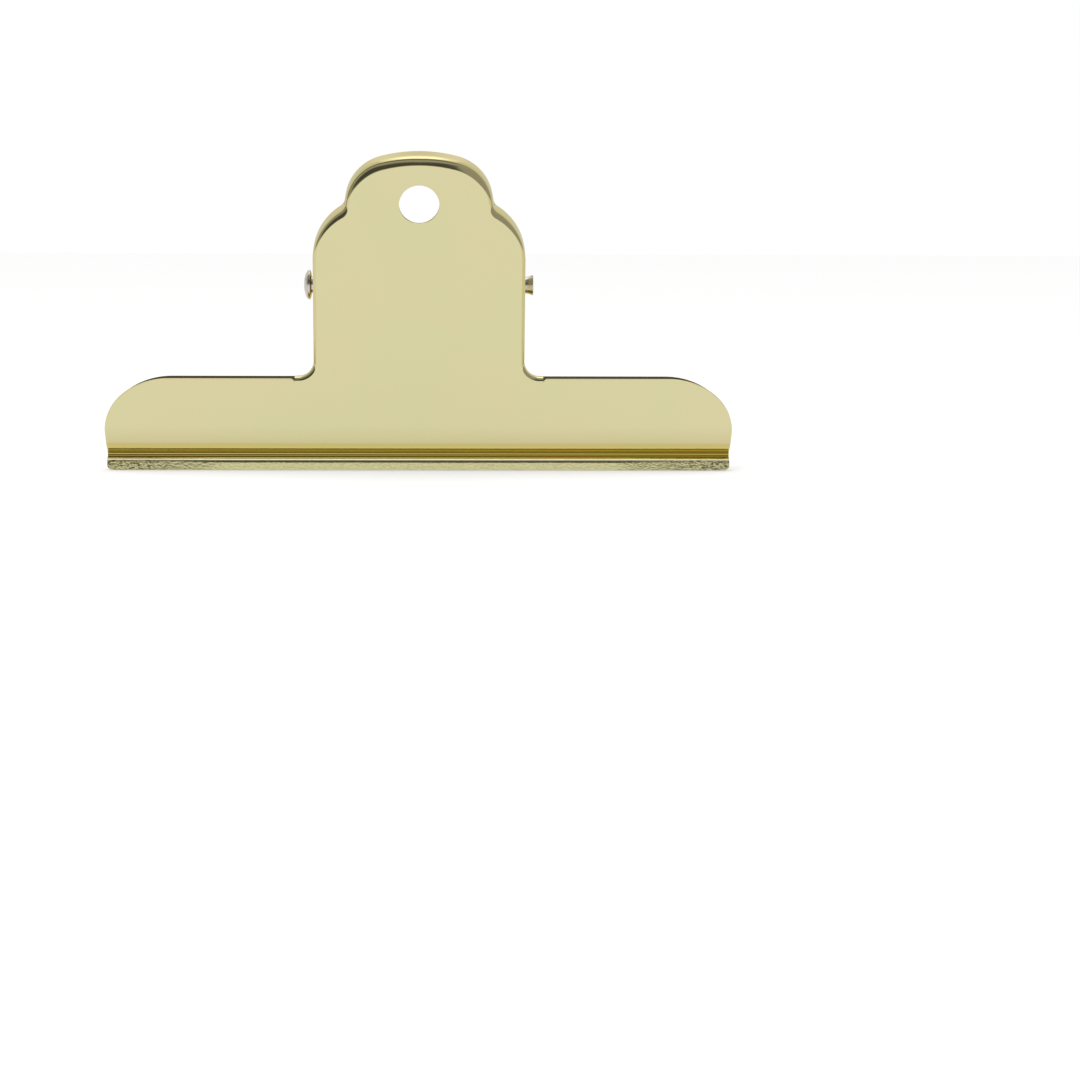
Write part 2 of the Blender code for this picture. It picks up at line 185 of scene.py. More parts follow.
def handleOutline(halfWidth, p):
    # right half of the rim's outer face, from its end beside the wing to the middle of the top
    topCentre = Vector((0.0, upPlate(p["height"], p["rimDepth"]) - p["topRadius"]))
    drop = math.sqrt((p["topRadius"] - p["cornerRadius"]) ** 2 - p["cornerOffset"] ** 2)
    cornerCentre = topCentre + Vector((p["cornerOffset"], drop))
    meet = math.atan2(drop, p["cornerOffset"])
    flared = Vector((math.cos(p["flare"]), math.sin(p["flare"])))
    shoulder = Vector((halfWidth - p["shoulderRadius"], upPlate(p["shoulderHeight"])))
    neck = neckCentre(cornerCentre + p["cornerRadius"] * flared, flared, shoulder, p)
    touch = math.atan2(neck.y - shoulder.y, neck.x - shoulder.x)
    fillet = (halfWidth + p["filletRadius"], upPlate(p["filletHeight"]))
    foot = fillet[1] - p["filletRadius"]
    rimEnd = [((fillet[0] + p["rimReach"] * i / 8, foot), (0.0, 1.0)) for i in range(8, 0, -1)]
    sideSteps = 60
    side = []
    for i in range(1, sideSteps):
        along = fillet[1] + (shoulder.y - fillet[1]) * i / sideSteps
        side.append(((halfWidth, along), (1.0, 0.0)))
    return joinStretches(
        rimEnd,
        arcPoints(fillet, p["filletRadius"], math.pi + p["filletTurn"], math.pi, -1),
        side,
        arcPoints(shoulder, p["shoulderRadius"], 0.0, touch, 1),
        arcPoints(neck, p["neckRadius"], math.pi + touch, math.pi + p["flare"], -1),
        arcPoints(cornerCentre, p["cornerRadius"], p["flare"], meet, 1),
        arcPoints(topCentre, p["topRadius"], meet, math.pi / 2, 1),
    )


def eased(share):
    share = min(1.0, max(0.0, share))
    return share * share * (3 - 2 * share)


def bendRadiusAt(along, p):
    # the bend into the rim is tight at the rim's ends, wider up the sides and widest round the top
    start, full = upPlate(p["wideBendStart"]), upPlate(p["wideBendFull"])
    low = eased((along - upPlate(p["filletHeight"]) + p["filletRadius"]) / p["filletRadius"])
    high = eased((along - start) / (full - start))
    radius = p["footBendRadius"] + (p["sideBendRadius"] - p["footBendRadius"]) * low
    return radius + (p["bendRadius"] - p["sideBendRadius"]) * high


def rimDepthAt(along, travelled, p):
    # even round the handle, deep at the ears, low and rounded off beside the wings
    shoulder, fillet = upPlate(p["shoulderHeight"]), upPlate(p["filletHeight"])
    if along >= shoulder:
        return p["rimDepth"]
    if along <= fillet:
        low = p["rimEndDepth"] - p["nubRounding"] * max(0.0, 1.0 - travelled / 0.0013) ** 2
        nearness = max(0.0, (along - fillet + p["filletRadius"]) / p["filletRadius"])
        return low + (p["earFootDepth"] - low) * nearness ** 2
    rise = p["pivotHeight"] - flatUp
    pivot = (rise * cosLean - flatOut * sinLean, rise * sinLean + flatOut * cosLean)
    foot = (shoulder, p["rimDepth"]) if along > pivot[0] else (fillet, p["earFootDepth"])
    across, deep = foot[0] - pivot[0], foot[1] - pivot[1]
    middle = math.atan2(deep, across)
    spread = math.acos(p["earRadius"] / math.hypot(across, deep))
    normal = max((middle + spread, middle - spread), key=math.sin)
    across, deep = math.cos(normal), math.sin(normal)
    if abs(along - pivot[0]) < p["earRadius"] * abs(across):
        return pivot[1] + math.sqrt(p["earRadius"] ** 2 - (along - pivot[0]) ** 2)
    return pivot[1] + (p["earRadius"] - across * (along - pivot[0])) / deep


def jawHalfWidth(up, p):
    half = p["jawWidth"] / 2
    groove = p["lipHeight"] + (p["lipRadius"] + p["grooveRadius"]) * math.sin(p["lipTurn"])
    if up < p["widestHeight"]:
        half -= p["jawEndInset"] * eased((p["widestHeight"] - up) / (p["widestHeight"] - groove))
    if up < p["lipCorner"]:
        half -= p["lipCorner"] - math.sqrt(p["lipCorner"] ** 2 - (p["lipCorner"] - up) ** 2)
    return half


def wingOutline(rimEnd, p):
    widest, top = upPlate(p["widestHeight"]), upPlate(p["wingHeight"])
    steps = 40
    points = [(p["jawWidth"] / 2, widest)]
    for i in range(1, steps + 1):
        angle = math.pi / 2 * i / steps
        across = p["jawWidth"] / 2 - p["endLength"] * (1 - math.cos(angle))
        points.append((across, widest + (top - widest) * math.sin(angle)))
    points.append((rimEnd + p["notch"], top))
    return points


def plateSurface(side, halfWidth, p):
    # closed sheet of one plate: side is -1 for the front plate and 1 for the rear one
    mesh = bmesh.new()
    outward = {}

    def vertex(place, normal):
        x, out, up = place
        made = mesh.verts.new((x, side * out, up))
        outward[made] = Vector((normal[0], side * normal[1], normal[2]))
        return made

    faceNormal = (0.0, cosLean, -sinLean)
    right, left = [], []
    for out, up, heading in section:
        normal = (0.0, math.cos(heading), -math.sin(heading))
        right.append(vertex((jawHalfWidth(up, p), out, up), normal))
        left.append(vertex((-jawHalfWidth(up, p), out, up), normal))
    for i in range(len(section) - 1):
        mesh.faces.new((right[i], right[i + 1], left[i + 1], left[i]))

    half = handleOutline(halfWidth, p)
    depths, travelled = [], 0.0
    for i, (place, facing) in enumerate(half):
        travelled += math.dist(place, half[i - 1][0]) if i else 0.0
        depths.append(rimDepthAt(place[1], travelled, p))
    outline = half + [((-x, along), (-across, up)) for (x, along), (across, up) in half[:-1]][::-1]
    depths += depths[:-1][::-1]
    bends = [bendRadiusAt(place[1], p) for place, facing in outline]
    inner = []
    for ((x, along), (across, up)), bend in zip(outline, bends):
        inner.append(vertex(onPlate(x - bend * across, along - bend * up, 0.0), faceNormal))
    wing = wingOutline(inner[0].co.x, p)
    wingRight = [vertex(onPlate(x, along, 0.0), faceNormal) for x, along in wing]
    wingLeft = [vertex(onPlate(-x, along, 0.0), faceNormal) for x, along in wing]
    mesh.faces.new([left[-1], right[-1]] + wingRight + inner + wingLeft[::-1])

    previous = inner
    for row in range(1, p["bendSteps"] + 2):
        turn = math.pi / 2 * min(1.0, row / p["bendSteps"])
        current = []
        for ((x, along), (across, up)), depth, bend in zip(outline, depths, bends):
            outer = bend * (math.sin(turn) - 1)
            behind = depth if row > p["bendSteps"] else bend * (1 - math.cos(turn))
            place = onPlate(x + outer * across, along + outer * up, behind)
            facing = onPlate(across * math.sin(turn), up * math.sin(turn), -math.cos(turn))
            current.append(vertex(place, Vector(facing) - Vector(onPlate(0.0, 0.0, 0.0))))
        for i in range(len(outline) - 1):
            mesh.faces.new((previous[i], previous[i + 1], current[i + 1], current[i]))
        previous = current

    behind = {v: mesh.verts.new(v.co - p["sheet"] * normal) for v, normal in outward.items()}
    edges = [edge.link_loops[0] for edge in mesh.edges if edge.is_boundary]
    edges = [(loop.vert, loop.link_loop_next.vert) for loop in edges]
    for face in list(mesh.faces):
        mesh.faces.new([behind[v] for v in reversed(face.verts)])
    for a, b in edges:
        mesh.faces.new((b, a, behind[a], behind[b]))
    bmesh.ops.recalc_face_normals(mesh, faces=mesh.faces)
    return mesh


def meshObject(name, mesh):
    data = bpy.data.meshes.new(name)
    mesh.to_mesh(data)
    mesh.free()
    made = bpy.data.objects.new(name, data)
    bpy.context.scene.collection.objects.link(made)
    return made


def roundPunch(diameter, reach, place):
    mesh = bmesh.new()
    bmesh.ops.create_cone(mesh, cap_ends=True, segments=96, radius1=diameter / 2,
                          radius2=diameter / 2, depth=2 * reach, matrix=place)
    return meshObject("punch", mesh)


def bakeModifiers(made):
    # the evaluated result becomes the object's own plain mesh
    bpy.context.view_layer.update()
    graph = bpy.context.evaluated_depsgraph_get()
    data = bpy.data.meshes.new_from_object(made.evaluated_get(graph), depsgraph=graph)
    made.modifiers.clear()
    made.data = data
    return made


def punchHoles(made, side, p):
    x, out, up = onPlate(0.0, upPlate(p["height"], p["rimDepth"]) - p["holeDrop"], p["sheet"] / 2)
    hole = Matrix.Translation((x, side * out, up)) @ Matrix.Rotation(math.pi / 2 - side * p["lean"], 4, "X")
    axle = Matrix.Translation((0.0, 0.0, p["pivotHeight"])) @ Matrix.Rotation(math.pi / 2, 4, "Y")
    punches = [
        roundPunch(p["holeDiameter"], p["punchReach"], hole),
        roundPunch(p["earHole"], frontHalf + p["punchReach"], axle),
    ]
    for punch in punches:
        cut = made.modifiers.new("punch", "BOOLEAN")
        cut.operation = "DIFFERENCE"
        cut.solver = "EXACT"
        cut.object = punch
    bakeModifiers(made)
    for punch in punches:
        bpy.data.objects.remove(punch)


def roundEdges(made, width, segments=3):
    edge = made.modifiers.new("edge", "BEVEL")
    edge.width = width
    edge.segments = segments
    edge.limit_method = "ANGLE"
    edge.angle_limit = math.radians(40)
    edge.use_clamp_overlap = True
    bakeModifiers(made)
    made.data.shade_smooth()
    made.data.set_sharp_from_angle(angle=math.radians(55))
    even = made.modifiers.new("even", "WEIGHTED_NORMAL")
    even.mode = "FACE_AREA"
    even.weight = 60
    even.keep_sharp = True
    return bakeModifiers(made)


def makePlate(name, side, halfWidth, p):
    made = meshObject(name, plateSurface(side, halfWidth, p))
    punchHoles(made, side, p)
    roundEdges(made, p["edgeRounding"])
    print(name, "has", len(made.data.polygons), "faces")
    return made


rivetSizes = {
    "shank": 0.0040,
    "headDiameter": 0.00705,
    "headThickness": 0.0018,
    "headUnder": 0.0005,
    "headFoot": 0.0047,
    "headPlay": 0.0006,
    "tailLength": 0.0022,
    "tailDiameter": 0.0049,
    "tailSpread": 0.0019,
    "tailHollow": 0.0030,
    "tailHollowDepth": 0.0008,
    "tailBulge": 1.8,           # how late the tail spreads
    "tailEdge": 0.00012,        # its rounded rim, along the rivet and in from the side
    "tailEdgeDepth": 0.00013,
    "steps": 96,
}


def makeRivet(p):
    # turned about the pivot: domed head on the left, spread hollow tail on the right
    shank, head, tail = p["shank"] / 2, p["headDiameter"] / 2, p["tailDiameter"] / 2
    underHead = -frontHalf - p["headPlay"]
    end = frontHalf + p["tailLength"]
    dome, foot = p["headThickness"] - p["headUnder"], p["headFoot"] / 2
    profile = []
    for i in range(25):
        angle = math.pi / 2 * i / 24
        profile.append((underHead - p["headUnder"] - dome * math.cos(angle), head * math.sin(angle)))
    for i in range(1, 11):
        angle = math.pi / 2 * i / 10
        across = p["headUnder"] * (1 - math.sin(angle))
        profile.append((underHead - across, foot + (head - foot) * math.cos(angle)))
    profile.append((underHead, shank))
    start = end - p["tailSpread"]
    profile.append((start, shank))
    for i in range(1, 9):
        share = i / 8
        across = start + (p["tailSpread"] - p["tailEdge"]) * share
        profile.append((across, shank + (tail - shank) * share ** p["tailBulge"]))
    nick = p["tailEdge"] / 3
    profile += [(end - nick, tail - nick), (end, tail - p["tailEdgeDepth"])]
    hollow = p["tailHollow"] / 2
    for i in range(9):
        angle = math.pi / 2 * i / 8
        depth = p["tailHollowDepth"] * math.sin(angle)
        profile.append((end - depth, hollow * math.cos(angle)))
    mesh = bmesh.new()
    points = [mesh.verts.new((x, 0.0, radius)) for x, radius in profile]
    rim = [mesh.edges.new(pair) for pair in zip(points, points[1:])]
    bmesh.ops.spin(mesh, geom=points + rim, cent=(0, 0, 0), axis=(1, 0, 0),
                   angle=2 * math.pi, steps=p["steps"], use_merge=True)
    bmesh.ops.remove_doubles(mesh, verts=mesh.verts, dist=0.00001)
    bmesh.ops.recalc_face_normals(mesh, faces=mesh.faces)
    bmesh.ops.translate(mesh, verts=mesh.verts, vec=(0.0, 0.0, plateSizes["pivotHeight"]))
    made = meshObject("turned_rivet", mesh)
    made.data.shade_smooth()
    made.data.set_sharp_from_angle(angle=math.radians(40))
    return made


springSizes = {
    "wire": 0.0020,
    "coilClearance": 0.0006,
    "coilTurns": 4,
    "coilGap": 0.0006,
    "coilInset": 0.0015,
    "legHeight": 0.0088,
    "seatGap": 0.0003,
    "bridgeRadius": 0.0030,
    "sides": 24,
    "spacing": 0.00035,
}


def wireSeat(side, height, p):
    # where the wire's centre lies against the inner face of a handle
    behind = plateSizes["sheet"] + p["seatGap"] + p["wire"] / 2
    x, out, up = onPlate(0.0, upPlate(plateSizes["pivotHeight"] + height, behind), behind)
    return Vector((0.0, side * out, up))


def legAngle(tip, radius, side):
    offset = Vector((tip.y, tip.z - plateSizes["pivotHeight"]))
    return math.atan2(offset.y, offset.x) - side * math.acos(radius / offset.length)


def straightPoints(start, end, spacing):
    count = max(1, round((end - start).length / spacing))
    return [start.lerp(end, i / count) for i in range(count + 1)]


def springPath(p):
    # right half: rear leg, coil from outside to inside, front leg, half of the bridge
    pivot = plateSizes["pivotHeight"]
    radius = rivetSizes["shank"] / 2 + p["coilClearance"] + p["wire"] / 2
    pitch = p["wire"] + p["coilGap"]
    outerX = rearHalf - plateSizes["sheet"] - p["coilInset"] - p["wire"] / 2
    rearTip, frontTip = wireSeat(1, p["legHeight"], p), wireSeat(-1, p["legHeight"], p)
    start, end = legAngle(rearTip, radius, 1), legAngle(frontTip, radius, -1)
    turn = (start - end) % (2 * math.pi) + 2 * math.pi * p["coilTurns"]
    count = math.ceil(turn * radius / p["spacing"])
    coil = []
    for i in range(count + 1):
        angle = start - turn * i / count
        x = outerX - pitch * turn / (2 * math.pi) * i / count
        coil.append(Vector((x, radius * math.cos(angle), pivot + radius * math.sin(angle))))
    rearTip.x, frontTip.x = coil[0].x, coil[-1].x
    rise = (frontTip - coil[-1]).normalized()
    corner = frontTip - p["bridgeRadius"] * rise
    bend = []
    for i in range(1, 17):
        angle = math.pi / 2 * i / 16
        inward = Vector((-p["bridgeRadius"] * (1 - math.cos(angle)), 0.0, 0.0))
        bend.append(corner + inward + rise * p["bridgeRadius"] * math.sin(angle))
    leg = straightPoints(rearTip, coil[0], p["spacing"])[:-1]
    front = straightPoints(coil[-1], corner, p["spacing"])[1:]
    bridge = straightPoints(bend[-1], Vector((0.0, bend[-1].y, bend[-1].z)), p["spacing"])[1:]
    return leg + coil + front + bend + bridge, coil[0].x, coil[-1].x


def wireTree(finish):
    # Geometry Nodes: a round wire drawn along the object's own path
    tree = bpy.data.node_groups.new("drawnWire", "GeometryNodeTree")
    tree.is_modifier = True
    face = tree.interface
    face.new_socket("Geometry", in_out="OUTPUT", socket_type="NodeSocketGeometry")
    face.new_socket("Path", in_out="INPUT", socket_type="NodeSocketGeometry")
    thick = face.new_socket("Wire diameter", in_out="INPUT", socket_type="NodeSocketFloat")
    sides = face.new_socket("Sides", in_out="INPUT", socket_type="NodeSocketInt")
    spacing = face.new_socket("Spacing", in_out="INPUT", socket_type="NodeSocketFloat")
    nodes, links = tree.nodes, tree.links
    start, end = nodes.new("NodeGroupInput"), nodes.new("NodeGroupOutput")
    even = nodes.new("GeometryNodeResampleCurve")
    even.mode = "LENGTH"
    half = nodes.new("ShaderNodeMath")
    half.operation = "MULTIPLY"
    half.inputs[1].default_value = 0.5
    ring = nodes.new("GeometryNodeCurvePrimitiveCircle")
    sweep = nodes.new("GeometryNodeCurveToMesh")
    sweep.inputs["Fill Caps"].default_value = True
    smooth = nodes.new("GeometryNodeSetShadeSmooth")
    real = nodes.new("GeometryNodeRealizeInstances")
    paint = nodes.new("GeometryNodeSetMaterial")
    paint.inputs["Material"].default_value = finish
    links.new(start.outputs["Path"], even.inputs["Curve"])
    links.new(start.outputs["Spacing"], even.inputs["Length"])
    links.new(start.outputs["Wire diameter"], half.inputs[0])
    links.new(half.outputs[0], ring.inputs["Radius"])
    links.new(start.outputs["Sides"], ring.inputs["Resolution"])
    links.new(even.outputs["Curve"], sweep.inputs["Curve"])
    links.new(ring.outputs["Curve"], sweep.inputs["Profile Curve"])
    links.new(sweep.outputs["Mesh"], smooth.inputs["Geometry"])
    links.new(smooth.outputs["Geometry"], real.inputs["Geometry"])
    links.new(real.outputs["Geometry"], paint.inputs["Geometry"])
    links.new(paint.outputs["Geometry"], end.inputs["Geometry"])
    return tree, {"wire": thick.identifier, "sides": sides.identifier, "spacing": spacing.identifier}


def makeSpringHalf(name, points, tree, sockets, p):
    curve = bpy.data.curves.new(name, "CURVE")
    curve.dimensions = "3D"
    line = curve.splines.new("POLY")
    line.points.add(len(points) - 1)
    for target, point in zip(line.points, points):
        target.co = (*point, 1.0)
    path = bpy.data.objects.new(name + "_path", curve)
    bpy.context.scene.collection.objects.link(path)
    draw = path.modifiers.new("wire", "NODES")
    draw.node_group = tree
    for key, socket in sockets.items():
        draw[socket] = p[key]
    bpy.context.view_layer.update()
    graph = bpy.context.evaluated_depsgraph_get()
    data = bpy.data.meshes.new_from_object(path.evaluated_get(graph), depsgraph=graph)
    made = bpy.data.objects.new(name, data)
    bpy.context.scene.collection.objects.link(made)
    path.modifiers.clear()
    bpy.data.objects.remove(path)
    mesh = bmesh.new()
    mesh.from_mesh(data)
    bmesh.ops.remove_doubles(mesh, verts=mesh.verts, dist=0.000001)
    bmesh.ops.recalc_face_normals(mesh, faces=mesh.faces)
    mesh.to_mesh(data)
    mesh.free()
    data.shade_smooth()
    data.set_sharp_from_angle(angle=math.radians(50))
    return made


# Materials, all on object coordinates

platingLook = {
    "gold": (0.857, 0.770, 0.406),
    "greenerGold": (0.825, 0.770, 0.395),
    "rosierGold": (0.866, 0.757, 0.413),
    "edgeTint": (0.95, 0.91, 0.78),
    "clouds": 45.0,                 # grain of the greener and rosier patches
    "roughness": 0.070,
    "roughnessPlay": 0.03,
    "roughnessGrain": 900.0,
    "lipRoughness": 0.065,          # what the lip adds
    "peelHeights": (0.0023, 0.0031),    # the lip's orange-peel skin ends between these heights
    "peelGrain": 2200.0,
    "peelDepth": 0.00045,
    "peelMiddle": 0.07,             # how much of it is left along the middle of the jaw
    "peelEnds": (0.045, 0.066),
    "crestHighlight": (0.00232, 0.00243, 0.00252, 0.00262),    # heights of the painted highlight along the lip's crest: a pale, dull band standing in for the bright line of light caught there
    "crestHighlightColour": (0.95, 0.93, 0.80),
    "speckleReflectionGrain": 2400.0,             # painted reflection: dark specks on the lip's skin, standing in for the dark room caught in its orange-peel bumps, most of them near the jaw's ends
    "speckleReflectionColour": (0.16, 0.15, 0.07),
    "speckleReflectionMiddle": 0.10,
    "speckleReflectionMost": 0.90,
    "speckleReflectionEnds": (0.054, 0.069),
    "waves": 70.0,                  # the slight unevenness of pressed sheet
    "waveDepth": 0.00006,
    # painted reflection and shade: deeper, darker gold in and over the pressed groove, by height, standing
    # in for light bounced between the groove, the lip and the face
    "paintedGrooveReflection": (
        (0.0020, (0.945, 0.97, 0.915)), (0.0023, (1.0, 1.0, 1.0)), (0.0033, (1.0, 0.98, 0.85)),
        (0.0037, (0.84, 0.72, 0.22)), (0.0041, (0.86, 0.74, 0.26)), (0.0044, (0.96, 0.90, 0.62)),
        (0.0048, (1.0, 0.98, 0.85)), (0.00515, (0.95, 0.88, 0.55)), (0.00555, (0.88, 0.80, 0.42)),
        (0.0062, (0.85, 0.78, 0.60)), (0.0066, (0.915, 0.88, 0.81)), (0.0080, (0.955, 0.935, 0.90)),
        (0.0105, (1.0, 1.0, 1.0)),
    ),
}


def nodeMaterial(name):
    made = bpy.data.materials.new(name)
    made.use_nodes = True
    tree = made.node_tree
    shader = tree.nodes["Principled BSDF"]
    return made, tree, shader


def addNode(tree, kind, settings=None, **inputs):
    # a node with its own settings and input values or links
    node = tree.nodes.new(kind)
    for key, value in (settings or {}).items():
        setattr(node, key, value)
    for key, value in inputs.items():
        socket = node.inputs[int(key[1:])] if key[0] == "_" else node.inputs[key]
        if isinstance(value, bpy.types.NodeSocket):
            tree.links.new(value, socket)
        else:
            socket.default_value = value
    return node


def mathNode(tree, operation, a, b=0.0):
    return addNode(tree, "ShaderNodeMath", {"operation": operation}, _0=a, _1=b).outputs[0]


def multiplyAdd(tree, a, b, c):
    return addNode(tree, "ShaderNodeMath", {"operation": "MULTIPLY_ADD"}, _0=a, _1=b, _2=c).outputs[0]


def rampNode(tree, factor, stops):
    node = addNode(tree, "ShaderNodeValToRGB", Fac=factor)
    elements = node.color_ramp.elements
    while len(elements) < len(stops):
        elements.new(0.5)
    for element, (place, colour) in zip(elements, stops):
        element.position = place
        element.color = (*colour, 1.0) if len(colour) == 3 else colour
    return node.outputs["Color"]


def mixColour(tree, factor, a, b, blend="MIX"):
    node = tree.nodes.new("ShaderNodeMix")
    node.data_type = "RGBA"
    node.blend_type = blend
    for index, value in ((0, factor), (6, a), (7, b)):
        if isinstance(value, bpy.types.NodeSocket):
            tree.links.new(value, node.inputs[index])
        else:
            node.inputs[index].default_value = (*value, 1.0) if isinstance(value, tuple) else value
    return node.outputs[2]


def fade(tree, value, low, high, fromLow=0.0, fromHigh=1.0):
    node = addNode(tree, "ShaderNodeMapRange", {"interpolation_type": "SMOOTHSTEP"}, Value=value)
    node.inputs["From Min"].default_value = low
    node.inputs["From Max"].default_value = high
    node.inputs["To Min"].default_value = fromLow
    node.inputs["To Max"].default_value = fromHigh
    return node.outputs["Result"]


def noise(tree, place, scale, detail=2.0, roughness=0.5):
    return addNode(tree, "ShaderNodeTexNoise", Vector=place, Scale=scale, Detail=detail,
                   Roughness=roughness).outputs["Fac"]


def goldByHeight(tree, height, stops):
    # ramp from the groove up to the face, its stops given in metres
    low, high = stops[0][0], stops[-1][0]
    across = addNode(tree, "ShaderNodeMapRange", Value=height)
    across.inputs["From Min"].default_value = low
    across.inputs["From Max"].default_value = high
    shares = [((up - low) / (high - low), colour) for up, colour in stops]
    return rampNode(tree, across.outputs["Result"], shares)


def platingMaterial(look):
    made, tree, shader = nodeMaterial("champagne_plating")
    place = addNode(tree, "ShaderNodeTexCoord").outputs["Object"]
    parts = addNode(tree, "ShaderNodeSeparateXYZ", Vector=place).outputs
    height, aside = parts["Z"], mathNode(tree, "ABSOLUTE", parts["X"])
    peel = fade(tree, height, *look["peelHeights"], 1.0, 0.0)
    # painted highlight: a band along the lip's crest, by height
    start, full, still, end = look["crestHighlight"]
    crestHighlight = fade(tree, height, start, full)
    crestHighlight = mathNode(tree, "MULTIPLY", crestHighlight, fade(tree, height, still, end, 1.0, 0.0))

    cloud = fade(tree, noise(tree, place, look["clouds"], 3.0), 0.35, 0.65)
    gold = mixColour(tree, cloud, look["greenerGold"], look["rosierGold"])
    gold = mixColour(tree, 0.5, look["gold"], gold)
    # painted reflection and shade: the groove's bounced light multiplied into the gold by height
    gold = mixColour(tree, 1.0, gold, goldByHeight(tree, height, look["paintedGrooveReflection"]), "MULTIPLY")
    # painted reflection: dark specks of the dark room on the lip's skin, most of them near the jaw's ends
    drawn = addNode(tree, "ShaderNodeMapping", Vector=place, Scale=(0.5, 1.0, 1.0)).outputs["Vector"]
    paintedSpeckles = fade(tree, noise(tree, drawn, look["speckleReflectionGrain"], 2.5, 0.6), 0.50, 0.60)
    share = fade(tree, aside, *look["speckleReflectionEnds"], look["speckleReflectionMiddle"], look["speckleReflectionMost"])
    paintedSpeckles = mathNode(tree, "MULTIPLY", paintedSpeckles, share)
    gold = mixColour(tree, mathNode(tree, "MULTIPLY", paintedSpeckles, peel), gold, look["speckleReflectionColour"])
    # painted highlight: the crest's band is pale, less metallic and rough, so it shows as a bright line
    gold = mixColour(tree, crestHighlight, gold, look["crestHighlightColour"])
    tree.links.new(gold, shader.inputs["Base Color"])
    tree.links.new(mathNode(tree, "SUBTRACT", 1.0, crestHighlight), shader.inputs["Metallic"])
    shader.inputs["Specular Tint"].default_value = (*look["edgeTint"], 1.0)

    fine = noise(tree, place, look["roughnessGrain"])
    even = multiplyAdd(tree, fine, look["roughnessPlay"], look["roughness"])
    rough = multiplyAdd(tree, peel, look["lipRoughness"], even)
    tree.links.new(mathNode(tree, "MAXIMUM", rough, crestHighlight), shader.inputs["Roughness"])

    uneven = noise(tree, place, look["waves"], 1.5)
    wave = addNode(tree, "ShaderNodeBump", Height=uneven, Distance=look["waveDepth"], Strength=0.35)
    grain = noise(tree, place, look["peelGrain"], 2.5, 0.6)
    depth = mathNode(tree, "MULTIPLY", peel, fade(tree, aside, *look["peelEnds"], look["peelMiddle"], 1.0))
    skin = mathNode(tree, "MULTIPLY", grain, depth)
    bump = addNode(tree, "ShaderNodeBump", Height=skin, Distance=look["peelDepth"], Strength=1.0,
                   Normal=wave.outputs["Normal"])
    tree.links.new(bump.outputs["Normal"], shader.inputs["Normal"])
    return made


rivetLook = {
    "nickel": (0.83, 0.79, 0.72),
    "worn": (0.67, 0.63, 0.56),
    "paintedGoldReflection": (0.62, 0.48, 0.13),    # painted reflection of the plating's gold in the rivet's downward-facing underside
    "roughness": 0.20,
    "roughnessPlay": 0.10,
}


def rivetMaterial(look):
    made, tree, shader = nodeMaterial("bright_nickel")
    where = addNode(tree, "ShaderNodeTexCoord").outputs
    place = where["Object"]
    spots = fade(tree, noise(tree, place, 700.0, 4.0, 0.6), 0.4, 0.7)
    facing = addNode(tree, "ShaderNodeSeparateXYZ", Vector=where["Normal"]).outputs["Z"]
    silver = mixColour(tree, spots, look["nickel"], look["worn"])
    # painted reflection: faces turned down take the plating's gold
    colour = mixColour(tree, fade(tree, facing, -0.70, -0.45), look["paintedGoldReflection"], silver)
    tree.links.new(colour, shader.inputs["Base Color"])
    shader.inputs["Metallic"].default_value = 1.0
    roughest = look["roughness"] + look["roughnessPlay"]
    rough = fade(tree, noise(tree, place, 1200.0, 3.0), 0.3, 0.7, look["roughness"], roughest)
    tree.links.new(rough, shader.inputs["Roughness"])
    grain = noise(tree, place, 1500.0, 3.0)
    bump = addNode(tree, "ShaderNodeBump", Height=grain, Distance=0.00003, Strength=0.4)
    tree.links.new(bump.outputs["Normal"], shader.inputs["Normal"])
    return made


wireLook = {
    "steel": (0.46, 0.45, 0.43),
    "dull": (0.33, 0.32, 0.30),
    "roughness": 0.26,
    "roughnessPlay": 0.14,
}


def wireMaterial(look):
    made, tree, shader = nodeMaterial("spring_steel")
    place = addNode(tree, "ShaderNodeTexCoord").outputs["Object"]
    patches = fade(tree, noise(tree, place, 350.0, 4.0, 0.6), 0.38, 0.66)
    colour = mixColour(tree, patches, look["steel"], look["dull"])
    tree.links.new(colour, shader.inputs["Base Color"])
    shader.inputs["Metallic"].default_value = 1.0
    roughest = look["roughness"] + look["roughnessPlay"]
    rough = fade(tree, noise(tree, place, 900.0, 3.0), 0.3, 0.7, look["roughness"], roughest)
    tree.links.new(rough, shader.inputs["Roughness"])
    grain = noise(tree, place, 2600.0)
    bump = addNode(tree, "ShaderNodeBump", Height=grain, Distance=0.00002, Strength=0.35)
    tree.links.new(bump.outputs["Normal"], shader.inputs["Normal"])
    return made


def dress(made, finish):
    made.data.materials.clear()
    made.data.materials.append(finish)


plating = platingMaterial(platingLook)
nickel = rivetMaterial(rivetLook)
wireSteel = wireMaterial(wireLook)
print("materials ready")

for nodeName, pieceName, side, half, sizes, body in (
    ("front_plate", "pressed_front_plate", -1, frontHalf, plateSizes, "front"),
    ("rear_plate", "pressed_rear_plate", 1, rearHalf, rearSizes, "rear"),
):
    plate = makePlate(pieceName, side, half, sizes)
    dress(plate, plating)
    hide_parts(nodeName)
    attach(plate, body)
print("plates ready")

rivet = makeRivet(rivetSizes)
dress(rivet, nickel)
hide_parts("pivot_rivet")
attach(rivet, "front")
print("rivet ready")

path, coilOuter, coilInner = springPath(springSizes)
tree, sockets = wireTree(wireSteel)
for name, hand in (("spring_right", 1), ("spring_left", -1)):
    points = [Vector((hand * point.x, point.y, point.z)) for point in path]
    half = makeSpringHalf(name, points, tree, sockets, springSizes)
    dress(half, wireSteel)
    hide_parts("torsion_spring")
    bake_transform(half)
print("spring ready")


# Stage, light and camera

stageLook = {
    "floor": (0.96, 0.96, 0.955),
    "radius": 4.0,
    "drop": 0.0002,             # the floor lies this far under the jaw
    "sky": 1.0,
    "ownGlow": 0.3,
    "glowInMetal": 0.9,
    # where the floor beside the clamp starts, as the polished metal shows it
    "besideStart": (0.082, 0.092),
    "besideTurn": (-0.50, -0.25),
}

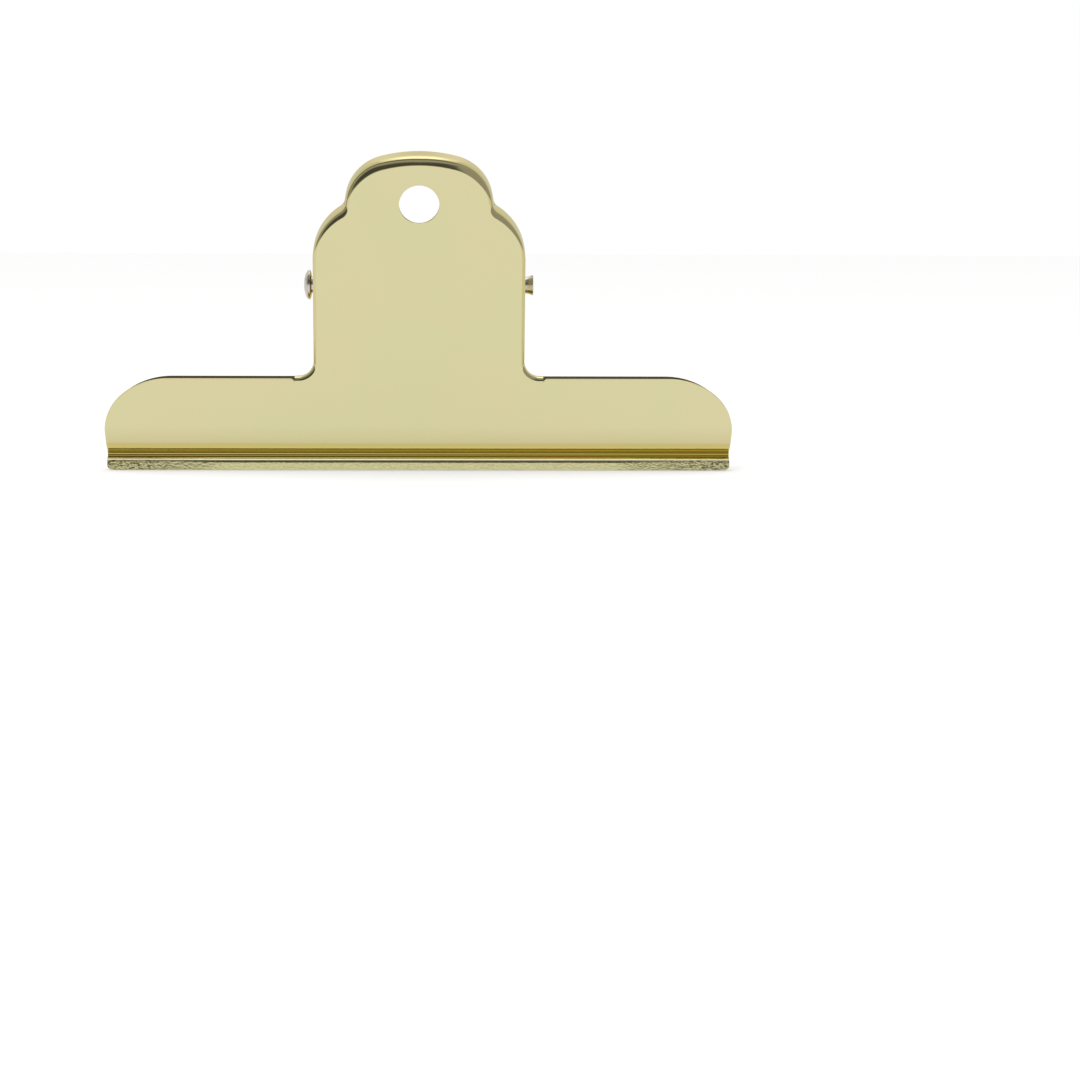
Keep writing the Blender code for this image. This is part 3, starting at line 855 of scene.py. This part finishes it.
roomLook = {
    # brightness shown in polished metal, from ahead of the clamp (-1) over the top (0) to behind it (1)
    "bands": ((-1.20, 0.06), (-0.93, 0.06), (-0.86, 0.10), (-0.78, 0.24), (-0.68, 0.33), (-0.53, 0.35),
              (-0.46, 0.14), (-0.33, 0.12), (-0.24, 0.28), (-0.12, 0.95), (-0.02, 1.5), (0.12, 1.6),
              (0.32, 1.25), (0.50, 1.05), (0.72, 0.92), (0.84, 0.70), (1.00, 0.70)),
    "bowed": 0.65,              # how far the bands bow back towards the sides
    "horizon": 0.30,            # the least brightness low over the floor
    "horizonTop": 0.16,
    "right": 0.30,              # and the least towards the right
    "rightStart": (0.10, 0.45),
    "ceiling": (0.08, 0.36),    # how far out to the sides the bright ceiling panel fades
    "wall": (0.64, 0.64, 0.57),
    "floor": (0.776, 0.808, 0.890),
    "floorLeft": (0.74, 0.70, 0.72),
    "floorRight": (0.63, 0.62, 0.54),
}


def floorInMetal(tree, look, room):
    # the floor's colour in glossy rays: one tone before the clamp, another on each side of it
    across = addNode(tree, "ShaderNodeTexCoord").outputs["Object"]
    across = addNode(tree, "ShaderNodeSeparateXYZ", Vector=across).outputs
    aside = mathNode(tree, "ABSOLUTE", across["X"])
    beside = fade(tree, mathNode(tree, "DIVIDE", across["Y"], aside), *look["besideTurn"])
    beside = mathNode(tree, "MULTIPLY", beside, fade(tree, aside, *look["besideStart"]))
    rightward = fade(tree, across["X"], -0.01, 0.01)
    sides = mixColour(tree, rightward, room["floorLeft"], room["floorRight"])
    return mixColour(tree, beside, room["floor"], sides)


def makeFloor(look):
    mesh = bmesh.new()
    bmesh.ops.create_circle(mesh, cap_ends=True, segments=96, radius=look["radius"])
    made = meshObject("pale_floor", mesh)
    made.data.transform(Matrix.Translation((0.0, 0.0, -look["drop"])))
    finish, tree, shader = nodeMaterial("pale_floor")
    shader.inputs["Base Color"].default_value = (*look["floor"], 1.0)
    shader.inputs["Roughness"].default_value = 0.9
    shader.inputs["Specular IOR Level"].default_value = 0.0
    ray = addNode(tree, "ShaderNodeLightPath").outputs
    share = mathNode(tree, "MULTIPLY", ray["Is Camera Ray"], look["ownGlow"])
    inMetal = mathNode(tree, "MULTIPLY", ray["Is Glossy Ray"], look["glowInMetal"])
    share = mathNode(tree, "MAXIMUM", share, inMetal)
    tint = mixColour(tree, ray["Is Glossy Ray"], (1.0, 1.0, 1.0), floorInMetal(tree, look, roomLook))
    glow = addNode(tree, "ShaderNodeEmission", Color=tint, Strength=1.0)
    seen = addNode(tree, "ShaderNodeMixShader", _0=share, _1=shader.outputs[0], _2=glow.outputs[0])
    tree.links.new(seen.outputs[0], tree.nodes["Material Output"].inputs["Surface"])
    made.data.materials.append(finish)


def bandsInMetal(tree, toward, look):
    # colours are held at half their brightness, because a ramp stops at 1
    parts = addNode(tree, "ShaderNodeSeparateXYZ", Vector=toward).outputs
    aside = mathNode(tree, "ABSOLUTE", parts["X"])
    past = mathNode(tree, "SUBTRACT", parts["Y"], mathNode(tree, "MULTIPLY", aside, look["bowed"]))
    first, last = look["bands"][0][0], look["bands"][-1][0]
    place = addNode(tree, "ShaderNodeMapRange", Value=past)
    place.inputs["From Min"].default_value = first
    place.inputs["From Max"].default_value = last
    stops = [((w - first) / (last - first), (level / 2,) * 3) for w, level in look["bands"]]
    seen = rampNode(tree, place.outputs["Result"], stops)
    low = fade(tree, parts["Z"], 0.0, look["horizonTop"], look["horizon"] / 2, 0.0)
    seen = mixColour(tree, 1.0, seen, low, "LIGHTEN")
    beside = fade(tree, parts["X"], *look["rightStart"], 0.0, look["right"] / 2)
    seen = mixColour(tree, 1.0, seen, beside, "LIGHTEN")
    wall = tuple(part / 2 for part in look["wall"])
    seen = mixColour(tree, fade(tree, aside, *look["ceiling"]), seen, wall, "DARKEN")
    ground = tuple(part / 2 for part in look["floor"])
    return mixColour(tree, fade(tree, parts["Z"], -0.03, 0.0), ground, seen)


def makeRoom(look):
    world = bpy.data.worlds.new("studio")
    bpy.context.scene.world = world
    world.use_nodes = True
    tree = world.node_tree
    tree.nodes.clear()
    toward = addNode(tree, "ShaderNodeTexCoord").outputs["Generated"]
    bands = bandsInMetal(tree, toward, look)
    white = (1.0, 1.0, 1.0, 1.0)
    shiny = addNode(tree, "ShaderNodeBackground", Color=bands, Strength=2.0).outputs[0]
    plain = addNode(tree, "ShaderNodeBackground", Color=white, Strength=1.0).outputs[0]
    soft = addNode(tree, "ShaderNodeBackground", Color=white, Strength=stageLook["sky"]).outputs[0]
    ray = addNode(tree, "ShaderNodeLightPath").outputs
    lit = addNode(tree, "ShaderNodeMixShader", _0=ray["Is Glossy Ray"], _1=soft, _2=shiny).outputs[0]
    seen = addNode(tree, "ShaderNodeMixShader", _0=ray["Is Camera Ray"], _1=lit, _2=plain).outputs[0]
    addNode(tree, "ShaderNodeOutputWorld", Surface=seen)


lampLook = {"power": 9.0, "size": 1.2, "place": (-0.5, -0.9, 1.6)}


def makeLamp(look):
    lamp = bpy.data.lights.new("soft_lamp", "AREA")
    lamp.energy = look["power"]
    lamp.size = look["size"]
    made = bpy.data.objects.new("soft_lamp", lamp)
    made.location = look["place"]
    made.rotation_euler = (-made.location).to_track_quat("-Z", "Y").to_euler()
    made.visible_glossy = False
    bpy.context.scene.collection.objects.link(made)


cameraLook = {
    "place": (0.0, -0.95, 0.064),
    "yaw": math.radians(1.7426),
    "pitch": math.radians(4.8780),
    "roll": math.radians(-0.18),
    "lens": 131.911,
}


def makeCamera(look):
    data = bpy.data.cameras.new("photo_view")
    data.lens = look["lens"]
    data.sensor_width = 36.0
    made = bpy.data.objects.new("photo_view", data)
    made.location = look["place"]
    made.rotation_euler = (math.pi / 2 - look["pitch"], look["roll"], -look["yaw"])
    bpy.context.scene.collection.objects.link(made)
    bpy.context.scene.camera = made


makeFloor(stageLook)
makeRoom(roomLook)
makeLamp(lampLook)
makeCamera(cameraLook)
bpy.context.scene.view_settings.view_transform = "Standard"
print("stage ready")
